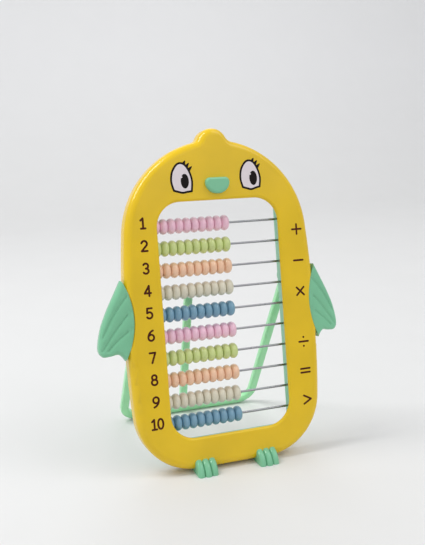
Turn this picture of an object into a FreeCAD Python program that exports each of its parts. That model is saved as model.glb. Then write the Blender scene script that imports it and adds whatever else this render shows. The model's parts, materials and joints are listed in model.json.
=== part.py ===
import FreeCAD, Part
import math
import os
import Sketcher
from FreeCAD import Placement, Rotation, Vector

# A free-standing children's counting frame shaped like a chick.  Every sub-part of the frame is
# drawn upright in the panel's own axes (X across, Y from the front face backwards, Z up) and then
# leaned back about the X axis.  The floor is Z = 0 and the origin lies under the front face.

DIMENSIONS = {
    "lean_angle": 11.0,
    # outer outline of the panel
    "panel_depth": 12.4,
    "panel_bottom": 2.5,
    "belly_half_width": 65.6,
    "belly_height": 88.0,
    "side_bulge": 700.0,
    "bottom_corner": 39.5,
    "dome_height": 150.0,
    "crest_radius": 10.4,
    "crest_height": 209.6,
    "crest_blend": 6.0,
    "edge_round": 4.8,
    "back_round": 1.4,
    # window and mouldings
    "window_half_width": 41.4,
    "window_bottom": 23.2,
    "window_top": 174.1,
    "window_corner": 16.0,
    "lip_round": 1.7,
    "face_thickness": 2.0,
    "wall_thickness": 2.0,
    "inside_round": 3.4,
    "liner_setback": 2.4,
    "liner_corner": 9.0,
    "cover_thickness": 2.0,
    "cover_clearance": 0.15,
    # rows of beads
    "row_pitch": 14.0,
    "lowest_row": 33.2,
    "wire_depth": 7.2,
    "wire_radius": 0.75,
    "wire_half_length": 47.6,
    "wire_stop_gap": 0.3,
    "wire_stop_width": 1.4,
    "wire_stop_margin": 4.0,
    "bead_radius": 5.05,
    "bead_thickness": 5.16,
    "bead_pitch": 5.2,
    "bead_bore": 0.83,
    "bead_end_gap": 0.1,
    # beak, wings and feet
    "beak_height": 183.7,
    "beak_half_width": 8.1,
    "beak_top": 4.6,
    "beak_corner": 3.0,
    "beak_depth": 7.3,
    "beak_relief": 3.0,
    "beak_round": 1.65,
    "peg_radius": 2.0,
    "peg_end": 1.0,
    "wing_front": 0.3,
    "wing_thickness": 8.4,
    "wing_round": 2.6,
    "wing_base_radius": 52.0,
    "wing_base_height": 103.4,
    "wing_base_reach": 60.2,
    "wing_recess": 1.2,
    "wing_sweep": 11.0,
    "wing_seam": 0.12,
    "foot_spacing": 21.3,
    "foot_back": 8.6,
    "toe_crown": 4.0,
    "toe_step": 0.5,
    "toe_width": 4.6,
    "toe_height": 9.4,
    "toe_reach": 6.9,
    "toe_round": 2.2,
    "toe_pitch": 4.3,
    "toe_splay": 2.0,
    # rear stand
    "hinge_height": 121.0,
    "hinge_setback": 3.1,
    "stand_angle": 28.0,
    "stand_half_spacing": 50.9,
    "stand_width": 6.0,
    "stand_thickness": 5.0,
    "stand_corner": 11.0,
    "stand_edge_round": 1.6,
    "heel_height": 1.75,
    "bar_width": 5.6,
    "bar_foot_x": -4.4,
    "bar_head_x": -17.6,
    "bar_head_drop": 9.0,
    "eye_radius": 2.9,
    "pin_radius": 1.3,
    "lug_thickness": 1.5,
    "lug_clearance": 0.3,
    # screws
    "screw_boss_radius": 3.0,
    "screw_core_radius": 1.0,
    "screw_hole_radius": 1.4,
    "screw_head_radius": 2.2,
    "screw_head_depth": 1.1,
    "screw_length": 8.0,
    "screw_slot_length": 2.9,
    "screw_slot_width": 0.6,
    "screw_slot_depth": 0.7,
    # gaps between parts that are assembled together
    "press_gap": 0.02,
    "wire_gap": 0.03,
    "peg_gap": 0.05,
    "turning_gap": 0.06,
    "head_gap": 0.1,
}

ROWS = 10
BEADS_PER_ROW = 10
WING_OUTLINE = [(66.4, 128.4), (71.2, 119.2), (76.6, 108.6), (80.9, 98.0), (83.2, 86.6),
                (81.2, 81.4), (76.2, 81.2), (71.4, 81.9), (68.6, 79.6), (66.6, 76.2)]
SCREW_PLACES = [(54.4, 40.0), (55.4, 82.0), (54.6, 146.0), (36.0, 187.0), (24.0, 14.0)]

doc = FreeCAD.newDocument("counting_frame")
sheet = doc.addObject("Spreadsheet::Sheet", "Sizes")
for row, (name, size) in enumerate(DIMENSIONS.items(), start=1):
    sheet.set(f"A{row}", name)
    sheet.set(f"B{row}", str(size))
    sheet.setAlias(f"B{row}", name)
doc.recompute()

sub_parts = []


def size(name):
    return float(sheet.get(name))


def hinge_place():
    """The stand's hinge axis in the panel's own axes."""
    return Vector(0, size("panel_depth") + size("hinge_setback"), size("hinge_height"))


def stand_reach():
    """How far the open stand reaches back from the front face at the floor, and its length."""
    lean = Rotation(Vector(1, 0, 0), -size("lean_angle"))
    hinge = lean.multVec(hinge_place())
    angle = math.radians(size("stand_angle"))
    rounding = size("stand_edge_round")
    half = size("stand_thickness") / 2 - rounding
    swing = (hinge.z - rounding - half * math.sin(angle)) / math.cos(angle)
    back = hinge.y + swing * math.sin(angle) + half * math.cos(angle) + rounding
    return back, swing + rounding


# The panel leans back, and the whole object is centred front to back over the origin.
BACK, LEG_LENGTH = stand_reach()
sheet.set("D1", str(round(LEG_LENGTH, 4)))
sheet.setAlias("D1", "leg_length")
doc.recompute()
LEAN = Placement(Vector(0, (size("toe_reach") - BACK) / 2, 0),
                 Rotation(Vector(1, 0, 0), -size("lean_angle")))


def finish(thing, label, placement=LEAN):
    """Name a finished sub-part and put it in its place."""
    thing.Label = label
    thing.Placement = placement
    sub_parts.append(thing)
    return thing


# ---------------------------------------------------------------- sketch helpers


def origin_plane(body, role):
    for feature in body.Origin.OriginFeatures:
        if feature.Role == role:
            return feature
    raise ValueError(role)


def new_sketch(body, name, role="XZ_Plane", offset=None):
    """A sketch on one of the body's planes; offset is an expression for its distance."""
    sketch = body.newObject("Sketcher::SketchObject", name)
    sketch.AttachmentSupport = [(origin_plane(body, role), "")]
    sketch.MapMode = "FlatFace"
    if offset:
        sketch.setExpression("AttachmentOffset.Base.z", offset)
    return sketch


def bind(sketch, constraint, expression):
    """Add a dimension to a sketch and bind it to an expression on the sheet."""
    index = sketch.addConstraint(constraint)
    name = f"size_{index}"
    sketch.renameConstraint(index, name)
    sketch.setExpression(f"Constraints.{name}", expression)


def number(sketch, expression):
    """The value that an expression has now."""
    value = sketch.evalExpression(expression)
    return float(getattr(value, "Value", value))


def place_point(sketch, element, end, across, up):
    """Bind a point's distances from the sketch's origin; None puts it on that axis."""
    for kind, axis, expression in (("DistanceX", -2, across), ("DistanceY", -1, up)):
        if expression is None:
            sketch.addConstraint(Sketcher.Constraint("PointOnObject", element, end, axis))
        else:
            place = Sketcher.Constraint(kind, -1, 1, element, end, number(sketch, expression))
            bind(sketch, place, expression)


def draw_outline(sketch, inset="0"):
    """The chick's outline: a dome, two bulged sides, two round corners and a flat base."""
    gap = number(sketch, inset)
    width = size("belly_half_width")
    belly = size("belly_height")
    bulge = size("side_bulge")
    corner = size("bottom_corner")
    bottom = size("panel_bottom")
    dome = size("dome_height")

    side_centre = Vector(width - bulge, belly, 0)
    reach = math.hypot(side_centre.x, dome - belly)
    dome_radius = bulge - reach
    shoulder_angle = math.atan2(dome - belly, -side_centre.x)
    corner_y = bottom + corner
    corner_x = side_centre.x + math.sqrt((bulge - corner) ** 2 - (corner_y - belly) ** 2)
    hip_angle = math.atan2(corner_y - belly, corner_x - side_centre.x)

    def arc(centre, radius, start, end):
        circle = Part.Circle(centre, Vector(0, 0, 1), radius - gap)
        return sketch.addGeometry(Part.ArcOfCircle(circle, start, end), False)

    right_side = arc(side_centre, bulge, hip_angle, shoulder_angle)
    top = arc(Vector(0, dome, 0), dome_radius, shoulder_angle, math.pi - shoulder_angle)
    left_side = arc(Vector(-side_centre.x, belly, 0), bulge,
                    math.pi - shoulder_angle, math.pi - hip_angle)
    left_corner = arc(Vector(-corner_x, corner_y, 0), corner, math.pi - hip_angle, 1.5 * math.pi)
    base = sketch.addGeometry(
        Part.LineSegment(Vector(-corner_x, bottom + gap, 0), Vector(corner_x, bottom + gap, 0)), False)
    right_corner = arc(Vector(corner_x, corner_y, 0), corner, -0.5 * math.pi, hip_angle)

    for first, first_end, second, second_end in (
            (right_side, 2, top, 1), (top, 2, left_side, 1), (left_side, 2, left_corner, 1),
            (left_corner, 2, base, 1), (base, 2, right_corner, 1), (right_corner, 2, right_side, 1)):
        sketch.addConstraint(Sketcher.Constraint("Tangent", first, first_end, second, second_end))
    sketch.addConstraint(Sketcher.Constraint("Horizontal", base))
    sketch.addConstraint(Sketcher.Constraint("Equal", right_side, left_side))
    sketch.addConstraint(Sketcher.Constraint("Equal", right_corner, left_corner))
    place_point(sketch, top, 3, None, "Sizes.dome_height")
    place_point(sketch, right_side, 3, "Sizes.belly_half_width - Sizes.side_bulge", "Sizes.belly_height")
    bind(sketch, Sketcher.Constraint("DistanceY", -1, 1, left_side, 3, belly), "Sizes.belly_height")
    bind(sketch, Sketcher.Constraint("Radius", right_side, bulge - gap),
         f"Sizes.side_bulge - ({inset})")
    bind(sketch, Sketcher.Constraint("Radius", right_corner, corner - gap),
         f"Sizes.bottom_corner - ({inset})")
    bind(sketch, Sketcher.Constraint("DistanceY", -1, 1, base, 1, bottom + gap),
         f"Sizes.panel_bottom + ({inset})")


def draw_round_rectangle(sketch, half_width, bottom, top, corner):
    """A rectangle with round corners, symmetric about the sketch's vertical axis."""
    x = number(sketch, half_width)
    low = number(sketch, bottom)
    high = number(sketch, top)
    radius = number(sketch, corner)
    lines = []
    corners = []
    runs = [
        (Vector(-x + radius, low, 0), Vector(x - radius, low, 0)),
        (Vector(x, low + radius, 0), Vector(x, high - radius, 0)),
        (Vector(x - radius, high, 0), Vector(-x + radius, high, 0)),
        (Vector(-x, high - radius, 0), Vector(-x, low + radius, 0)),
    ]
    centres = [(x - radius, low + radius), (x - radius, high - radius),
               (-x + radius, high - radius), (-x + radius, low + radius)]
    for start, end in runs:
        lines.append(sketch.addGeometry(Part.LineSegment(start, end), False))
    for quarter, (across, up) in enumerate(centres):
        circle = Part.Circle(Vector(across, up, 0), Vector(0, 0, 1), radius)
        begin = (quarter - 1) * math.pi / 2
        corners.append(sketch.addGeometry(Part.ArcOfCircle(circle, begin, begin + math.pi / 2), False))
    for side in range(4):
        following = lines[(side + 1) % 4]
        sketch.addConstraint(Sketcher.Constraint("Tangent", lines[side], 2, corners[side], 1))
        sketch.addConstraint(Sketcher.Constraint("Tangent", corners[side], 2, following, 1))
        if side:
            sketch.addConstraint(Sketcher.Constraint("Equal", corners[0], corners[side]))
    for line, direction in zip(lines, ("Horizontal", "Vertical", "Horizontal", "Vertical")):
        sketch.addConstraint(Sketcher.Constraint(direction, line))
    bind(sketch, Sketcher.Constraint("Radius", corners[0], radius), corner)
    bind(sketch, Sketcher.Constraint("DistanceX", -1, 1, lines[1], 1, x), half_width)
    bind(sketch, Sketcher.Constraint("DistanceX", -1, 1, lines[3], 1, -x), f"-({half_width})")
    bind(sketch, Sketcher.Constraint("DistanceY", -1, 1, lines[0], 1, low), bottom)
    bind(sketch, Sketcher.Constraint("DistanceY", -1, 1, lines[2], 1, high), top)


def draw_rectangle(sketch, near, far, bottom, top):
    """A plain rectangle between two distances across and two heights."""
    across = [number(sketch, near), number(sketch, far)]
    up = [number(sketch, bottom), number(sketch, top)]
    corners = [Vector(across[0], up[0], 0), Vector(across[1], up[0], 0),
               Vector(across[1], up[1], 0), Vector(across[0], up[1], 0)]
    lines = [sketch.addGeometry(Part.LineSegment(corners[side], corners[(side + 1) % 4]), False)
             for side in range(4)]
    for side, direction in enumerate(("Horizontal", "Vertical", "Horizontal", "Vertical")):
        sketch.addConstraint(Sketcher.Constraint("Coincident", lines[side], 2, lines[(side + 1) % 4], 1))
        sketch.addConstraint(Sketcher.Constraint(direction, lines[side]))
    place_point(sketch, lines[0], 1, near, bottom)
    place_point(sketch, lines[1], 2, far, top)


def draw_circle(sketch, across, up, radius):
    start = number(sketch, radius)
    centre = Vector(*(number(sketch, place) if place else 0 for place in (across, up)), 0)
    circle = sketch.addGeometry(Part.Circle(centre, Vector(0, 0, 1), start), False)
    bind(sketch, Sketcher.Constraint("Radius", circle, start), radius)
    place_point(sketch, circle, 3, across, up)


def pad(body, name, sketch, length, reverse=True, middle=False):
    feature = body.newObject("PartDesign::Pad", name)
    feature.Profile = sketch
    feature.Reversed = reverse
    feature.Midplane = middle
    feature.setExpression("Length", length)
    doc.recompute()
    return feature


def pocket(body, name, sketch, length=None, both_ways=False):
    """Cut a pocket, through everything where no length is given, and check that it cuts."""
    before = body.Shape.Volume
    feature = body.newObject("PartDesign::Pocket", name)
    feature.Profile = sketch
    feature.Midplane = both_ways
    if length:
        feature.setExpression("Length", length)
    else:
        feature.Type = "ThroughAll"
    doc.recompute()
    if not feature.Shape.Volume < before:
        raise ValueError(f"{name} cuts nothing")
    return feature


def fillet(body, name, base, radius, choose):
    """Round the edges of the base feature that the test picks out."""
    names = [f"Edge{n}" for n, edge in enumerate(base.Shape.Edges, start=1) if choose(edge)]
    feature = body.newObject("PartDesign::Fillet", name)
    feature.Base = (base, names)
    feature.setExpression("Radius", radius)
    doc.recompute()
    return feature


def lies_at_depth(depth):
    """A test for edges that lie wholly in the plane Y = depth."""
    def test(edge):
        box = edge.BoundBox
        return abs(box.YMin - depth) < 0.01 and abs(box.YMax - depth) < 0.01
    return test


# ---------------------------------------------------------------- the yellow panel


def add_panel_block(body):
    """The solid outer form of the panel: crest, rounded front and the two seats for the wings."""
    outline = new_sketch(body, "outline")
    draw_outline(outline)
    block = pad(body, "block", outline, "Sizes.panel_depth")
    crest_sketch = new_sketch(body, "crest_outline")
    draw_circle(crest_sketch, None, "Sizes.crest_height", "Sizes.crest_radius")
    crest = pad(body, "crest", crest_sketch, "Sizes.panel_depth")

    def beside_crest(edge):
        box = edge.BoundBox
        spans_depth = box.YLength > size("panel_depth") - 0.1 and box.XLength < 0.01
        return spans_depth and abs(box.XMin) < 2 * size("crest_radius") and box.ZMin > size("dome_height")

    blend = fillet(body, "crest_blend", crest, "Sizes.crest_blend", beside_crest)
    front = fillet(body, "front_round", blend, "Sizes.edge_round", lies_at_depth(0))
    fillet(body, "back_round", front, "Sizes.back_round", lies_at_depth(size("panel_depth")))
    seats = new_sketch(body, "wing_seats")
    for side in ("", "-"):
        draw_circle(seats, f"{side}(Sizes.wing_base_reach + Sizes.wing_base_radius - Sizes.wing_seam)",
                    "Sizes.wing_base_height", "Sizes.wing_base_radius")
    pocket(body, "wing_recesses", seats, "Sizes.wing_recess")


def make_envelope():
    """A solid copy of the panel's outer form, used to shape what sits against it."""
    body = doc.addObject("PartDesign::Body", "panel_envelope")
    add_panel_block(body)
    return body


def screw_places():
    for across, up in SCREW_PLACES:
        yield across, up
        yield -across, up


def make_front_shell():
    body = doc.addObject("PartDesign::Body", "front_shell")
    add_panel_block(body)

    window = new_sketch(body, "window")
    draw_round_rectangle(window, "Sizes.window_half_width", "Sizes.window_bottom",
                         "Sizes.window_top", "Sizes.window_corner")
    opening = pocket(body, "window_opening", window)

    def at_lip(edge):
        box = edge.BoundBox
        inside = max(abs(box.XMin), abs(box.XMax)) < size("window_half_width") + 0.1
        return lies_at_depth(0)(edge) and inside and box.ZMax < size("window_top") + 0.1

    fillet(body, "lip", opening, "Sizes.lip_round", at_lip)

    hollow = new_sketch(body, "hollow", offset="-Sizes.face_thickness")
    draw_outline(hollow, "Sizes.wall_thickness")
    inside = pocket(body, "hollow_inside", hollow)

    def at_hollow_floor(edge):
        return lies_at_depth(size("face_thickness"))(edge) and edge.BoundBox.XLength > 1 and (
            edge.BoundBox.DiagonalLength > 2 * size("window_half_width"))

    corner = fillet(body, "inside_round", inside, "Sizes.inside_round", at_hollow_floor)

    bosses = new_sketch(body, "bosses", offset="-Sizes.face_thickness")
    holes = new_sketch(body, "boss_holes", offset="-Sizes.face_thickness")
    for across, up in screw_places():
        draw_circle(bosses, str(across), str(up), "Sizes.screw_boss_radius")
        draw_circle(holes, str(across), str(up), "Sizes.screw_core_radius + Sizes.peg_gap")
    boss_length = "Sizes.panel_depth - Sizes.face_thickness - Sizes.cover_thickness"
    pad(body, "screw_bosses", bosses, boss_length)
    pocket(body, "screw_pilots", holes)

    stops = new_sketch(body, "wire_stops", offset="-Sizes.face_thickness")
    near = "Sizes.wire_half_length + Sizes.wire_stop_gap"
    top_row = f"Sizes.lowest_row + Sizes.row_pitch * {ROWS - 1}"
    for side in ("", "-"):
        draw_rectangle(stops, f"{side}({near})", f"{side}({near} + Sizes.wire_stop_width)",
                       "Sizes.lowest_row - Sizes.wire_stop_margin", f"{top_row} + Sizes.wire_stop_margin")
    pad(body, "wire_stop_ribs", stops, "Sizes.wire_depth")

    beak_hole = new_sketch(body, "beak_hole")
    draw_circle(beak_hole, None, "Sizes.beak_height", "Sizes.peg_radius + Sizes.peg_gap")
    pocket(body, "beak_peg_hole", beak_hole)
    return finish(body, "front_shell")


# ---------------------------------------------------------------- the mint back cover


def make_rear_cover():
    """The plate that closes the panel, with the window's inner wall and the stand's lugs."""
    body = doc.addObject("PartDesign::Body", "rear_cover")
    plate_depth = "Sizes.panel_depth - Sizes.cover_thickness"
    outline = new_sketch(body, "plate_outline", offset=f"-({plate_depth})")
    draw_outline(outline, "Sizes.wall_thickness + Sizes.cover_clearance")
    pad(body, "plate", outline, "Sizes.cover_thickness")

    def window_ring(name, setback, corner):
        ring = new_sketch(body, name, offset="-Sizes.face_thickness")
        draw_round_rectangle(ring, f"Sizes.window_half_width + {setback}",
                             f"Sizes.window_bottom - ({setback})", f"Sizes.window_top + {setback}", corner)
        return ring

    liner = window_ring("liner_outline", "Sizes.liner_setback + Sizes.cover_thickness",
                        "Sizes.liner_corner + Sizes.cover_thickness")
    pad(body, "liner", liner, "Sizes.panel_depth - Sizes.face_thickness")
    pocket(body, "liner_opening", window_ring("liner_inside", "Sizes.liner_setback", "Sizes.liner_corner"))

    wire_hole = new_sketch(body, "wire_hole", "YZ_Plane")
    draw_circle(wire_hole, "Sizes.wire_depth", "Sizes.lowest_row", "Sizes.wire_radius + Sizes.wire_gap")
    hole = pocket(body, "wire_holes", wire_hole, both_ways=True)
    rows = body.newObject("PartDesign::LinearPattern", "wire_hole_rows")
    rows.Originals = [hole]
    rows.Direction = (wire_hole, ["V_Axis"])
    rows.setExpression("Length", f"Sizes.row_pitch * {ROWS - 1}")
    rows.Occurrences = ROWS
    body.Tip = rows
    doc.recompute()

    screw_holes = new_sketch(body, "screw_holes", offset=f"-({plate_depth})")
    head_seats = new_sketch(body, "head_seats", offset="-(Sizes.panel_depth - Sizes.screw_head_depth)")
    for across, up in screw_places():
        draw_circle(screw_holes, str(across), str(up), "Sizes.screw_hole_radius")
        draw_circle(head_seats, str(across), str(up), "Sizes.screw_head_radius + Sizes.head_gap")
    pocket(body, "screw_clearance", screw_holes)
    pocket(body, "screw_seats", head_seats)

    lug_edge = "Sizes.stand_half_spacing + Sizes.stand_width / 2 + Sizes.lug_clearance"
    inner_edge = ("Sizes.stand_half_spacing - Sizes.stand_width / 2 - Sizes.lug_clearance"
                  " - Sizes.lug_thickness")
    lugs = []
    for name, start in (("outer_lug", lug_edge), ("inner_lug", inner_edge)):
        profile = new_sketch(body, f"{name}_profile", "YZ_Plane", offset=start)
        draw_lug(profile)
        lugs.append(pad(body, name, profile, "Sizes.lug_thickness", reverse=False))
    pair = body.newObject("PartDesign::Mirrored", "left_lugs")
    pair.Originals = lugs
    pair.MirrorPlane = (origin_plane(body, "YZ_Plane"), [""])
    body.Tip = pair
    doc.recompute()

    pin_hole = new_sketch(body, "pin_hole", "YZ_Plane")
    draw_circle(pin_hole, "Sizes.panel_depth + Sizes.hinge_setback", "Sizes.hinge_height",
                "Sizes.pin_radius + Sizes.press_gap")
    pocket(body, "pin_holes", pin_hole, both_ways=True)
    return finish(body, "rear_cover")


def draw_lug(sketch):
    """A lug's side view: a web from the plate that ends in a round about the hinge pin."""
    centre_y = hinge_place().y
    centre_z = hinge_place().z
    radius = size("eye_radius")
    root = size("panel_depth") - size("cover_thickness") / 2
    low = Vector(centre_y, centre_z - radius, 0)
    high = Vector(centre_y, centre_z + radius, 0)
    nose = sketch.addGeometry(Part.ArcOfCircle(
        Part.Circle(Vector(centre_y, centre_z, 0), Vector(0, 0, 1), radius), -math.pi / 2, math.pi / 2))
    top = sketch.addGeometry(Part.LineSegment(high, Vector(root, high.y, 0)))
    back = sketch.addGeometry(Part.LineSegment(Vector(root, high.y, 0), Vector(root, low.y, 0)))
    foot = sketch.addGeometry(Part.LineSegment(Vector(root, low.y, 0), low))
    sketch.addConstraint(Sketcher.Constraint("Tangent", nose, 2, top, 1))
    sketch.addConstraint(Sketcher.Constraint("Coincident", top, 2, back, 1))
    sketch.addConstraint(Sketcher.Constraint("Coincident", back, 2, foot, 1))
    sketch.addConstraint(Sketcher.Constraint("Tangent", foot, 2, nose, 1))
    sketch.addConstraint(Sketcher.Constraint("Horizontal", top))
    sketch.addConstraint(Sketcher.Constraint("Vertical", back))
    sketch.addConstraint(Sketcher.Constraint("Horizontal", foot))
    place_point(sketch, nose, 3, "Sizes.panel_depth + Sizes.hinge_setback", "Sizes.hinge_height")
    bind(sketch, Sketcher.Constraint("Radius", nose, radius), "Sizes.eye_radius")
    bind(sketch, Sketcher.Constraint("DistanceX", -1, 1, back, 1, root),
         "Sizes.panel_depth - Sizes.cover_thickness / 2")


# ---------------------------------------------------------------- wires and beads


def row_height(row):
    """The height of a row's wire; row 1 is at the top."""
    return size("lowest_row") + (ROWS - row) * size("row_pitch")


def make_wire(row):
    wire = doc.addObject("Part::Cylinder", f"wire_{row:02d}")
    wire.setExpression("Radius", "Sizes.wire_radius")
    wire.setExpression("Height", "Sizes.wire_half_length * 2")
    doc.recompute()
    start = Vector(-size("wire_half_length"), size("wire_depth"), row_height(row))
    along_x = Placement(start, Rotation(Vector(0, 1, 0), 90))
    return finish(wire, f"wire_{row:02d}", LEAN.multiply(along_x))


def make_bead():
    """One bead: a bored disc whose rim is a full round, on the X axis."""
    body = doc.addObject("PartDesign::Body", "bead")
    profile = new_sketch(body, "bead_profile")
    half = size("bead_thickness") / 2
    rim_centre = size("bead_radius") - half
    bore = size("bead_bore")
    hub = profile.addGeometry(Part.LineSegment(Vector(-half, bore, 0), Vector(half, bore, 0)))
    right = profile.addGeometry(Part.LineSegment(Vector(half, bore, 0), Vector(half, rim_centre, 0)))
    rim = profile.addGeometry(Part.ArcOfCircle(
        Part.Circle(Vector(0, rim_centre, 0), Vector(0, 0, 1), half), 0, math.pi))
    left = profile.addGeometry(Part.LineSegment(Vector(-half, rim_centre, 0), Vector(-half, bore, 0)))
    profile.addConstraint(Sketcher.Constraint("Coincident", hub, 2, right, 1))
    profile.addConstraint(Sketcher.Constraint("Tangent", right, 2, rim, 1))
    profile.addConstraint(Sketcher.Constraint("Tangent", rim, 2, left, 1))
    profile.addConstraint(Sketcher.Constraint("Coincident", left, 2, hub, 1))
    profile.addConstraint(Sketcher.Constraint("Horizontal", hub))
    profile.addConstraint(Sketcher.Constraint("Vertical", right))
    profile.addConstraint(Sketcher.Constraint("Vertical", left))
    bind(profile, Sketcher.Constraint("DistanceY", -1, 1, hub, 1, bore), "Sizes.bead_bore")
    bind(profile, Sketcher.Constraint("Radius", rim, half), "Sizes.bead_thickness / 2")
    place_point(profile, rim, 3, None, "Sizes.bead_radius - Sizes.bead_thickness / 2")
    turn = body.newObject("PartDesign::Revolution", "bead_turned")
    turn.Profile = profile
    turn.ReferenceAxis = (profile, ["H_Axis"])
    turn.Angle = 360
    doc.recompute()
    return body


def bead_centre(row, place):
    """Where a bead's centre is when the row is pushed to the left; place counts from 1."""
    left_wall = -size("window_half_width") - size("liner_setback")
    across = left_wall + size("bead_end_gap") + (place - 0.5) * size("bead_pitch")
    return Vector(across, size("wire_depth"), row_height(row))


def make_bead_group(bead, row, name, places):
    """Some neighbouring beads of a row, as separate solids that slide together."""
    beads = []
    for place in places:
        copy = bead.Shape.copy()
        copy.Placement = Placement(bead_centre(row, place), Rotation())
        beads.append(copy)
    group = doc.addObject("Part::Feature", name)
    group.Shape = Part.makeCompound(beads)
    return finish(group, name)


# ---------------------------------------------------------------- beak, wings and feet


def make_beak():
    """A raised cushion with a flat top and a bowed underside, on a peg."""
    body = doc.addObject("PartDesign::Body", "beak")
    outline = new_sketch(body, "beak_outline")
    half = size("beak_half_width")
    corner = size("beak_corner")
    middle = size("beak_height") + size("beak_top") - corner
    axis = Vector(0, 0, 1)
    right = Part.Circle(Vector(half - corner, middle, 0), axis, corner)
    left = Part.Circle(Vector(corner - half, middle, 0), axis, corner)
    top = Part.LineSegment(Vector(half - corner, middle + corner, 0),
                           Vector(corner - half, middle + corner, 0))
    underside = Part.Ellipse(Vector(0, middle, 0), half, size("beak_depth"))
    outline.addGeometry(Part.ArcOfCircle(right, 0, math.pi / 2), False)
    outline.addGeometry(top, False)
    outline.addGeometry(Part.ArcOfCircle(left, math.pi / 2, math.pi), False)
    outline.addGeometry(Part.ArcOfEllipse(underside, math.pi, 2 * math.pi), False)
    cushion = pad(body, "cushion", outline, "Sizes.beak_relief", reverse=False)
    fillet(body, "beak_round", cushion, "Sizes.beak_round", lies_at_depth(-size("beak_relief")))
    peg = new_sketch(body, "peg_outline")
    draw_circle(peg, None, "Sizes.beak_height", "Sizes.peg_radius")
    pad(body, "peg", peg, "Sizes.face_thickness + Sizes.peg_end")
    return finish(body, "beak")


def trim_to_panel(blank, envelope, name, placement=LEAN):
    """Cut a blank so that it fits against the panel's outer form."""
    trimmed = doc.addObject("Part::Cut", name)
    trimmed.Base = blank
    trimmed.Tool = envelope
    doc.recompute()
    return finish(trimmed, name, placement)


def make_wing_blank():
    """The right wing before it is fitted to the panel: it springs from an arc and sweeps back."""
    reach = size("wing_base_reach")
    height = size("wing_base_height")
    radius = size("wing_base_radius")
    front = size("wing_front")
    thickness = size("wing_thickness")
    root = reach - 2 * size("wing_round")
    edge = Part.BSplineCurve()
    edge.interpolate([Vector(across, front, up) for across, up in WING_OUTLINE])
    first, *_, last = WING_OUTLINE
    corners = [Vector(last[0], front, last[1]), Vector(root, front, last[1]),
               Vector(root, front, first[1]), Vector(first[0], front, first[1])]
    face = Part.Face(Part.Wire([edge.toShape(), *Part.makePolygon(corners).Edges]))
    slab = face.extrude(Vector(0, thickness, 0))
    rims = [side for side in slab.Edges
            if side.BoundBox.YLength < 0.01 and side.BoundBox.XMax > reach + radius / 5]
    slab = slab.makeFillet(size("wing_round"), rims)
    slab.rotate(Vector(reach, front, height), Vector(0, 0, 1), size("wing_sweep"))
    seat = Part.makeCylinder(radius, radius, Vector(reach + radius, -radius / 2, height), Vector(0, 1, 0))
    blank = doc.addObject("Part::Feature", "right_wing_blank")
    blank.Shape = slab.common(seat)
    return blank


def make_toe(reach):
    """One rounded toe whose heel edge stands on the Z axis and whose tip is at Y = -reach."""
    half = size("toe_width") / 2
    height = size("toe_height")
    back = size("foot_back")
    run = reach + size("toe_crown")
    bend = (run * run + height * height) / (2 * height)
    middle = math.atan2(run, bend - height) / 2
    tip = Vector(-half, -reach, 0)
    crown = Vector(-half, size("toe_crown"), height)
    knuckle = crown - Vector(0, bend * math.sin(middle), bend - bend * math.cos(middle))
    outline = [Part.Arc(tip, knuckle, crown).toShape(),
               *Part.makePolygon([crown, Vector(-half, back, height), Vector(-half, back, 0), tip]).Edges]
    solid = Part.Face(Part.Wire(outline)).extrude(Vector(2 * half, 0, 0))

    def along_the_top(edge):
        box = edge.BoundBox
        return box.XLength < 0.01 and box.YMin < back - size("toe_round") and box.ZMax > height / 2

    solid = solid.makeFillet(size("toe_round"), [edge for edge in solid.Edges if along_the_top(edge)])
    solid.translate(Vector(0, -back, 0))
    return solid


def make_foot_blank(side):
    """Three toes that fan forward from the panel and run back under it."""
    toes = []
    for toe in (-1, 0, 1):
        solid = make_toe(size("toe_reach") - size("toe_step") * abs(toe))
        solid.rotate(Vector(0, 0, 0), Vector(0, 0, 1), toe * size("toe_splay") / 2)
        across = side * size("foot_spacing") + toe * size("toe_pitch")
        solid.translate(Vector(across, size("foot_back"), 0))
        toes.append(solid)
    blank = doc.addObject("Part::Feature", "foot_blank")
    blank.Shape = toes[1].fuse([toes[0], toes[2]])
    blank.Placement = Placement(Vector(0, 0, 0), Rotation(Vector(1, 0, 0), size("lean_angle")))
    return blank


# ---------------------------------------------------------------- the folding stand


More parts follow.
